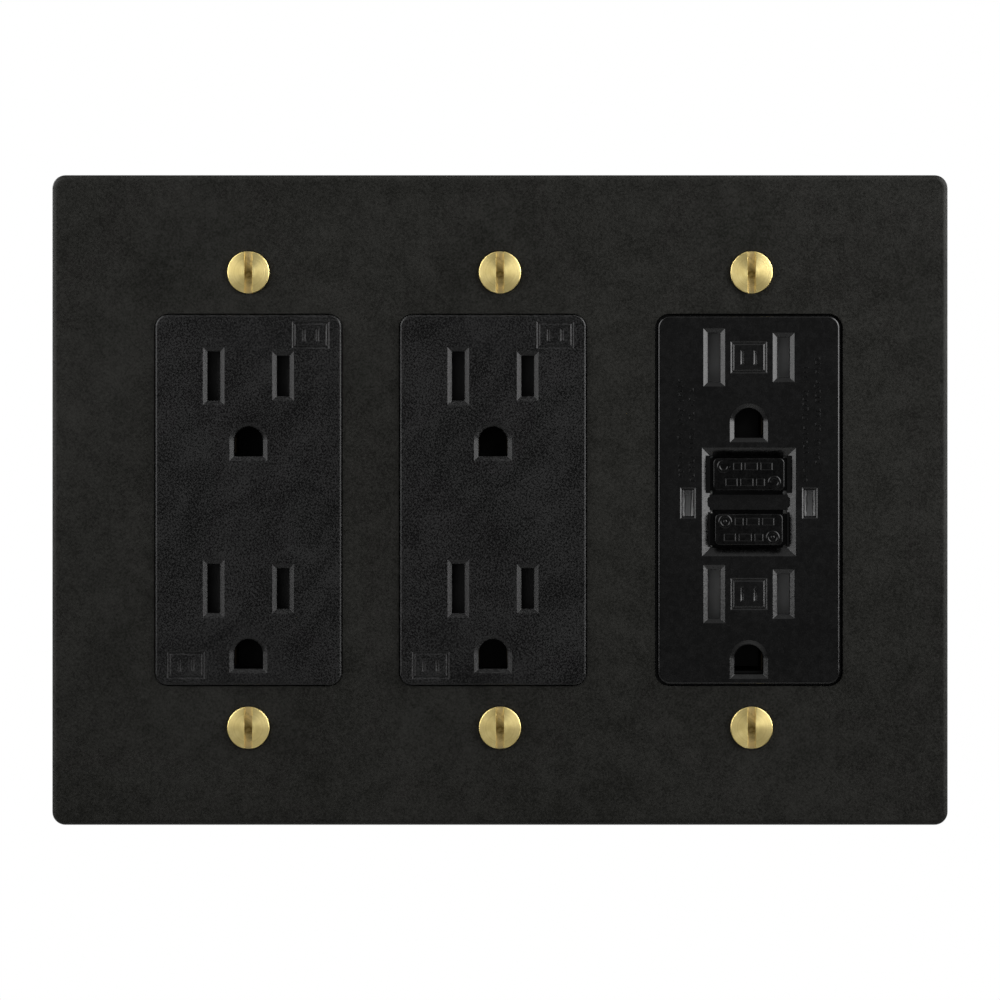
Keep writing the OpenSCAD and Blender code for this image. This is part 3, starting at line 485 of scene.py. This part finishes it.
def lathe(name, profile, sides, thread):
    """Closed solid turned round the Y axis from (radius, y) points in millimetres.

    thread(angle, y) gives what is added to the radius."""
    bm = bmesh.new()
    rows = []
    for radius, y in profile:
        if radius == 0:
            rows.append([bm.verts.new((0, y * MM, 0))])
            continue
        row = []
        for i in range(sides):
            a = 2 * math.pi * i / sides
            r = radius + thread(a, y)
            row.append(bm.verts.new((r * math.sin(a) * MM, y * MM, r * math.cos(a) * MM)))
        rows.append(row)
    for lower, upper in zip(rows, rows[1:]):
        for i in range(sides):
            j = (i + 1) % sides
            if len(lower) == 1:
                bm.faces.new((lower[0], upper[i], upper[j]))
            elif len(upper) == 1:
                bm.faces.new((lower[i], upper[0], lower[j]))
            else:
                bm.faces.new((lower[i], upper[i], upper[j], lower[j]))
    bmesh.ops.recalc_face_normals(bm, faces=bm.faces)
    mesh = bpy.data.meshes.new(name)
    bm.to_mesh(mesh)
    bm.free()
    return mesh


def plate_screw_mesh():
    """Turned head with fine rings and a driver slot, plain neck and a rolled thread."""
    low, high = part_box("plate_screws")
    front, tip = low.y / MM, high.y / MM
    seat = plate_front / MM + 1.0
    head_r, neck_r = 3.85, 1.55
    rim, rim_steps = 0.22, 6
    flat_r, flat_steps = head_r - rim, 66
    crown = 0.24
    slot_half, slot_floor = 0.75, front + 1.1
    start, pitch, depth, major = 0.3, 0.794, 0.36, 1.75
    profile = [(0, front)]
    for i in range(1, flat_steps + 1):
        r = flat_r * i / flat_steps
        groove = 0.0025 * (1 + math.sin(r * 21.0 + 1.3 * math.sin(r * 5.1))) * min(1, r / 0.4)
        profile.append((r, front + crown * (r / flat_r) ** 2 + groove))
    edge = front + crown
    for i in range(1, rim_steps + 1):
        a = math.radians(90 * i / rim_steps)
        profile.append((flat_r + rim * math.sin(a), edge + rim * (1 - math.cos(a))))
    profile += [(head_r, seat - 0.25), (head_r - 0.06, seat - 0.06), (head_r - 0.2, seat),
                (neck_r + 0.07, seat), (neck_r, seat + 0.08)]
    profile += [(neck_r, start - 0.5), (neck_r, start - 0.1)]
    y = start
    while y < tip - 0.05:
        profile.append((major - depth, y))
        y += pitch / 9
    profile += [(0.85, tip), (0, tip)]

    def thread(angle, y):
        if y < start - 0.01 or y >= tip - 0.01:
            return 0
        t = ((y / pitch - angle / (2 * math.pi)) % 1.0)
        rise = 1 - abs(2 * t - 1)
        height = depth * min(1.0, max(0.0, (rise - 0.12) / 0.72))
        fade = min(1.0, (y - start) / pitch, max(0.0, (tip - y) / 0.9))
        return height * fade - (0.25 * max(0.0, 1 - (tip - y) / 0.5))

    mesh = lathe("plate_screw", profile, 64, thread)
    turned = bpy.data.objects.new("turned", mesh)
    bm = bmesh.new()
    bmesh.ops.create_cube(bm, size=1)
    for v in bm.verts:
        v.co = Vector((v.co.x * 2 * slot_half, front - 1 if v.co.y < 0 else slot_floor, v.co.z * 12)) * MM
    cutter_mesh = bpy.data.meshes.new("cutter")
    bm.to_mesh(cutter_mesh)
    bm.free()
    cutter = bpy.data.objects.new("cutter", cutter_mesh)
    for obj in (turned, cutter):
        scene.collection.objects.link(obj)
    cut = turned.modifiers.new("slot", "BOOLEAN")
    cut.operation, cut.solver, cut.object = "DIFFERENCE", "EXACT", cutter
    bpy.context.view_layer.update()
    slotted = bpy.data.meshes.new_from_object(turned.evaluated_get(bpy.context.evaluated_depsgraph_get()))
    for obj in (turned, cutter):
        bpy.data.objects.remove(obj)
    bm = bmesh.new()
    bm.from_mesh(slotted)
    bmesh.ops.remove_doubles(bm, verts=bm.verts, dist=1e-6)

    def on_slot_side(vertex):
        return abs(abs(vertex.co.x) - slot_half * MM) < 2e-6 and vertex.co.y < (slot_floor - 0.3) * MM

    lips = [e for e in sharp_edges(bm, 55) if all(on_slot_side(v) for v in e.verts)]
    bmesh.ops.bevel(bm, geom=lips, offset=0.05 * MM, offset_type="OFFSET", profile=0.5, segments=2,
                    affect="EDGES", clamp_overlap=True)
    for v in bm.verts:
        x, y, z = (c / MM for c in v.co)
        if 0.6 < abs(x) < 0.9 and y < slot_floor - 0.4 and abs(z) < head_r - 0.4:
            wide_wear = 0.035 * noise.noise((x * 2, 7.3, z * 2.6))
            v.co.x += (wide_wear + 0.02 * noise.noise((x, 1.7, z * 9))) * MM
    for face in bm.faces:
        face.smooth = True
        middle = face.calc_center_median() / MM
        in_slot = abs(middle.x) < slot_half + 0.02 and front + 0.3 < middle.y <= slot_floor + 0.01
        face.material_index = int(in_slot)
    for edge in sharp_edges(bm, 42):
        edge.smooth = False
    bm.to_mesh(slotted)
    bm.free()
    return slotted


def make_plate_screws(look, slot_look):
    mesh = plate_screw_mesh()
    in_slot = [face.material_index for face in mesh.polygons]
    for name, x in gangs.items():
        for place, z in (("upper", SCREW_Z), ("lower", -SCREW_Z)):
            piece = new_object(f"{name}_{place}_plate_screw", mesh.copy(), look)
            piece.data.materials.append(slot_look.material)
            piece.data.polygons.foreach_set("material_index", in_slot)
            piece.location = (x, 0, z)
            stands_for(piece, ROOT, slot_of["plate_screws"], "plate_screws")


def coil(name, look, start, axis, length, mean_r, wire_r, turns):
    """Coil spring with closed end turns, from start along axis. All sizes in metres."""
    axis = Vector(axis)
    side = axis.orthogonal().normalized()
    other = axis.cross(side)
    per_turn, sides = 24, 8
    count = int(turns * per_turn)
    dead = 0.8
    wire = 2 * wire_r
    open_turns = turns - 2 * dead
    open_pitch = (length - wire - 2 * dead * wire * 1.03) / open_turns

    def along(t):
        if t < dead:
            return wire * 1.03 * t
        if t > turns - dead:
            return length - wire - wire * 1.03 * (turns - t)
        return wire * 1.03 * dead + open_pitch * (t - dead)

    bm = bmesh.new()
    rows = []
    for i in range(count + 1):
        t = turns * i / count
        a = 2 * math.pi * t
        out = side * math.cos(a) + other * math.sin(a)
        centre = Vector(start) + axis * (wire_r + along(t)) + out * mean_r
        rows.append([bm.verts.new(centre + (out * math.cos(b) + axis * math.sin(b)) * wire_r)
                     for b in (2 * math.pi * j / sides for j in range(sides))])
    for lower, upper in zip(rows, rows[1:]):
        for j in range(sides):
            k = (j + 1) % sides
            bm.faces.new((lower[j], upper[j], upper[k], lower[k]))
    bm.faces.new(rows[0])
    bm.faces.new(reversed(rows[-1]))
    bmesh.ops.recalc_face_normals(bm, faces=bm.faces)
    for face in bm.faces:
        face.smooth = len(face.verts) == 4
    mesh = bpy.data.meshes.new(name)
    bm.to_mesh(mesh)
    bm.free()
    return new_object(name, mesh, look)


def make_springs(look):
    """One wound spring for each CAD spring."""
    # node: (joint, axis, turns, radius of the wire in millimetres)
    springs = {
        "reset_spring": ("reset_press", (0, 1, 0), 5.5, 0.25),
        "plunger_spring": ("plunger_stroke", (0, 0, 1), 5.5, 0.15),
    }
    for name in gangs:
        for place in ("upper", "lower"):
            springs[f"{name}_{place}_shutter_spring"] = (f"{name}_{place}_shutter_slide", (1, 0, 0), 8, 0.11)
    for node, (joint, axis, turns, wire) in springs.items():
        low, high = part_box(node)
        axis = Vector(axis)
        k = next(i for i in range(3) if axis[i])
        others = [i for i in range(3) if i != k]
        centre = (low + high) / 2
        start = centre.copy()
        start[k] = low[k]
        outer = min(high[i] - low[i] for i in others) / 2
        length = high[k] - low[k]
        piece = coil(f"{node}_detail", look, start, axis, length, outer - wire * MM, wire * MM, turns)
        stands_for(piece, ROOT, slot_of[node], node)
        anchor = centre.copy()
        anchor[k] = high[k]
        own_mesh(piece)


def bendable(node, look, axis, step):
    """A copy of a CAD node, cut across every step metres along axis (0, 1 or 2)."""
    mesh = nodes[node].data.copy()
    mesh.name = f"{node}_detail"
    bm = bmesh.new()
    bm.from_mesh(mesh)
    bmesh.ops.remove_doubles(bm, verts=bm.verts, dist=2e-6)
    bmesh.ops.dissolve_limit(bm, angle_limit=math.radians(0.4), verts=bm.verts, edges=bm.edges)
    low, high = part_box(node)
    normal = Vector([1.0 if i == axis else 0.0 for i in range(3)])
    at = low[axis] + step
    while at < high[axis] - step / 3:
        point = low.copy()
        point[axis] = at
        everything = bm.verts[:] + bm.edges[:] + bm.faces[:]
        bmesh.ops.bisect_plane(bm, geom=everything, plane_co=point, plane_no=normal, dist=1e-7)
        at += step
    for face in bm.faces:
        face.smooth = True
    for edge in sharp_edges(bm, 35):
        edge.smooth = False
    bm.to_mesh(mesh)
    bm.free()
    return new_object(mesh.name, mesh, look)


def make_bending_metal(look):
    arms = bendable("contact_arms", look, 2, 0.9 * MM)
    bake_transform(arms)
    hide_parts("contact_arms")
    leaf = bendable("test_contact_arm", look, 0, 0.45 * MM)
    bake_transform(leaf)
    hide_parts("test_contact_arm")


def make_strokes(look):
    """Rows of plain raised strokes down both sides of the ground-fault face."""
    dice = random.Random(11)
    bm = bmesh.new()
    face_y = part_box("gfci_face")[0].y
    columns = [(-12.5, 4.2, 22.2), (-10.4, 3.4, 20.6), (10.3, 3.4, 24.6), (12.5, 6.6, 26.0)]
    half_across, height = 0.52, 0.12
    middle_x, stroke_y = GFCI_X / MM, face_y / MM - height / 2 + 0.01
    for x, low, high in columns:
        z = low
        word = dice.randint(3, 7)
        while z < high:
            if word == 0:
                z += 0.9
                word = dice.randint(2, 7)
                continue
            across = half_across * dice.choice((1.0, 1.0, 0.72))
            shift = dice.choice((-0.1, 0.0, 0.1))
            stroke_x = middle_x + x + shift
            add_block(bm, (stroke_x, stroke_y, z + 0.1), (across * 2, height + 0.02, 0.25))
            if dice.random() < 0.55:
                edge = dice.choice((-1, 1)) * (across - 0.12)
                add_block(bm, (stroke_x + edge, stroke_y, z + 0.36), (0.24, height + 0.02, 0.5))
            z += 0.86
            word -= 1
    mesh = bpy.data.meshes.new("gfci_strokes")
    bm.to_mesh(mesh)
    bm.free()
    piece = new_object("gfci_strokes", mesh, look)
    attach(piece, ROOT)


def add_block(bm, centre, size):
    """A small block in millimetres whose front is narrower than its foot."""
    x, y, z = (s / 2 for s in size)
    lean = 0.09
    corners = []
    for dy, inset in ((y, 0), (-y, lean)):
        for dx, dz in ((-1, -1), (1, -1), (1, 1), (-1, 1)):
            corner = Vector(centre) + Vector((dx * (x - inset), dy, dz * (z - inset)))
            corners.append(bm.verts.new(corner * MM))
    foot, front = corners[:4], corners[4:]
    sides = [(foot[i], front[i], front[(i + 1) % 4], foot[(i + 1) % 4]) for i in range(4)]
    faces = [foot, front[::-1]] + sides
    made = [bm.faces.new(f) for f in faces]
    bmesh.ops.recalc_face_normals(bm, faces=made)


# ---------------------------------------------------------------- build


make_camera()
make_studio()

coat = powder_coat()
grained = grained_plastic()
smooth = smooth_plastic()
button = smooth_plastic("button_plastic", 1.0, 0.15)
zinc = plated_metal("zinc_plate", (0.50, 0.52, 0.55), (0.62, 0.60, 0.54))
zinc_screw = plated_metal("zinc_screw", (0.52, 0.53, 0.55), (0.64, 0.62, 0.58), 0.3, 0.004)
nickel = plated_metal("nickel_screw", (0.62, 0.60, 0.56), (0.74, 0.72, 0.68), 0.26, 0.003)
yellow_brass = plated_metal("terminal_brass", (0.70, 0.50, 0.20), (0.82, 0.62, 0.28), 0.3, 0.003)
leaf_brass = plated_metal("stamped_brass", (0.66, 0.47, 0.19), (0.78, 0.58, 0.26), 0.34)
tinned = plated_metal("tinned_strip", (0.58, 0.58, 0.57), (0.70, 0.70, 0.68), 0.38)
wire = plated_metal("spring_wire", (0.45, 0.45, 0.46), (0.62, 0.62, 0.62), 0.28, 0.002)
back = dull_plastic("moulded_back", (0.0095, 0.0095, 0.0098), 0.42)
inner = dull_plastic("inner_cover", (0.014, 0.014, 0.014), 0.5)
shutter = dull_plastic("shutter_plastic", (0.018, 0.018, 0.018), 0.5, 0.25)
grey_shutter = dull_plastic("grey_shutter_plastic", (0.21, 0.21, 0.21), 0.4)
# Painted shade: this brass for the ground contacts is coloured nearly black because they sit in shade deep
# inside the ground holes.
shade_darkened = plated_metal("shade_darkened_brass", (0.06, 0.048, 0.03), (0.10, 0.08, 0.05), 0.5)
housing = dull_plastic("pale_housing", (0.60, 0.58, 0.52), 0.5)
parts = dull_plastic("moulded_components", (0.05, 0.05, 0.055), 0.4)

refine("wall_plate", coat, 0.14)
for name in ("left", "middle"):
    refine(f"{name}_face", grained, 0.07)
refine("gfci_face", smooth, 0.045)
for node in ("reset_button", "test_button"):
    refine(node, button, 0)
for name in gangs:
    for place in ("upper", "lower"):
        refine(f"{name}_{place}_shutter", grey_shutter if name == "gfci" else shutter, 0.06)
    refine(f"{name}_strap", zinc, 0.1)
    refine(f"{name}_back_body", back, 0.1)
    finish_cad(f"{name}_shutter_retainer", inner)
    finish_cad(f"{name}_hot_contacts", leaf_brass)
    finish_cad(f"{name}_neutral_contacts", tinned)
    # The ground contacts take the brass darkened as painted shade.
    finish_cad(f"{name}_ground_contacts", shade_darkened)
refine("body_screws", zinc_screw, 0.06)
refine("brass_terminal_screws", yellow_brass, 0.1)
refine("silver_terminal_screws", nickel, 0.1)
refine("ground_screws", dyed_metal(), 0.1)
refine("wire_clamp_plates", zinc, 0.08)
refine("light_pipes", clear_pipe(), 0.08)
make_plate_screws(turned_brass(), slot_brass_painted_shade())
make_springs(wire)
make_bending_metal(leaf_brass)
make_strokes(smooth)
finish_cad("gfci_line_terminals", leaf_brass)
for node in ("reset_pin", "solenoid_frame", "trip_plunger", "latch_plate"):
    finish_cad(node, zinc)
finish_cad("gfci_separator", back)
for node in ("coil_bobbin", "contact_carriage"):
    finish_cad(node, housing)
finish_cad("circuit_board", board_look())
finish_cad("board_components", parts)
finish_cad("sensing_coils", winding_look("X"))
finish_cad("coil_winding", winding_look("Z"))
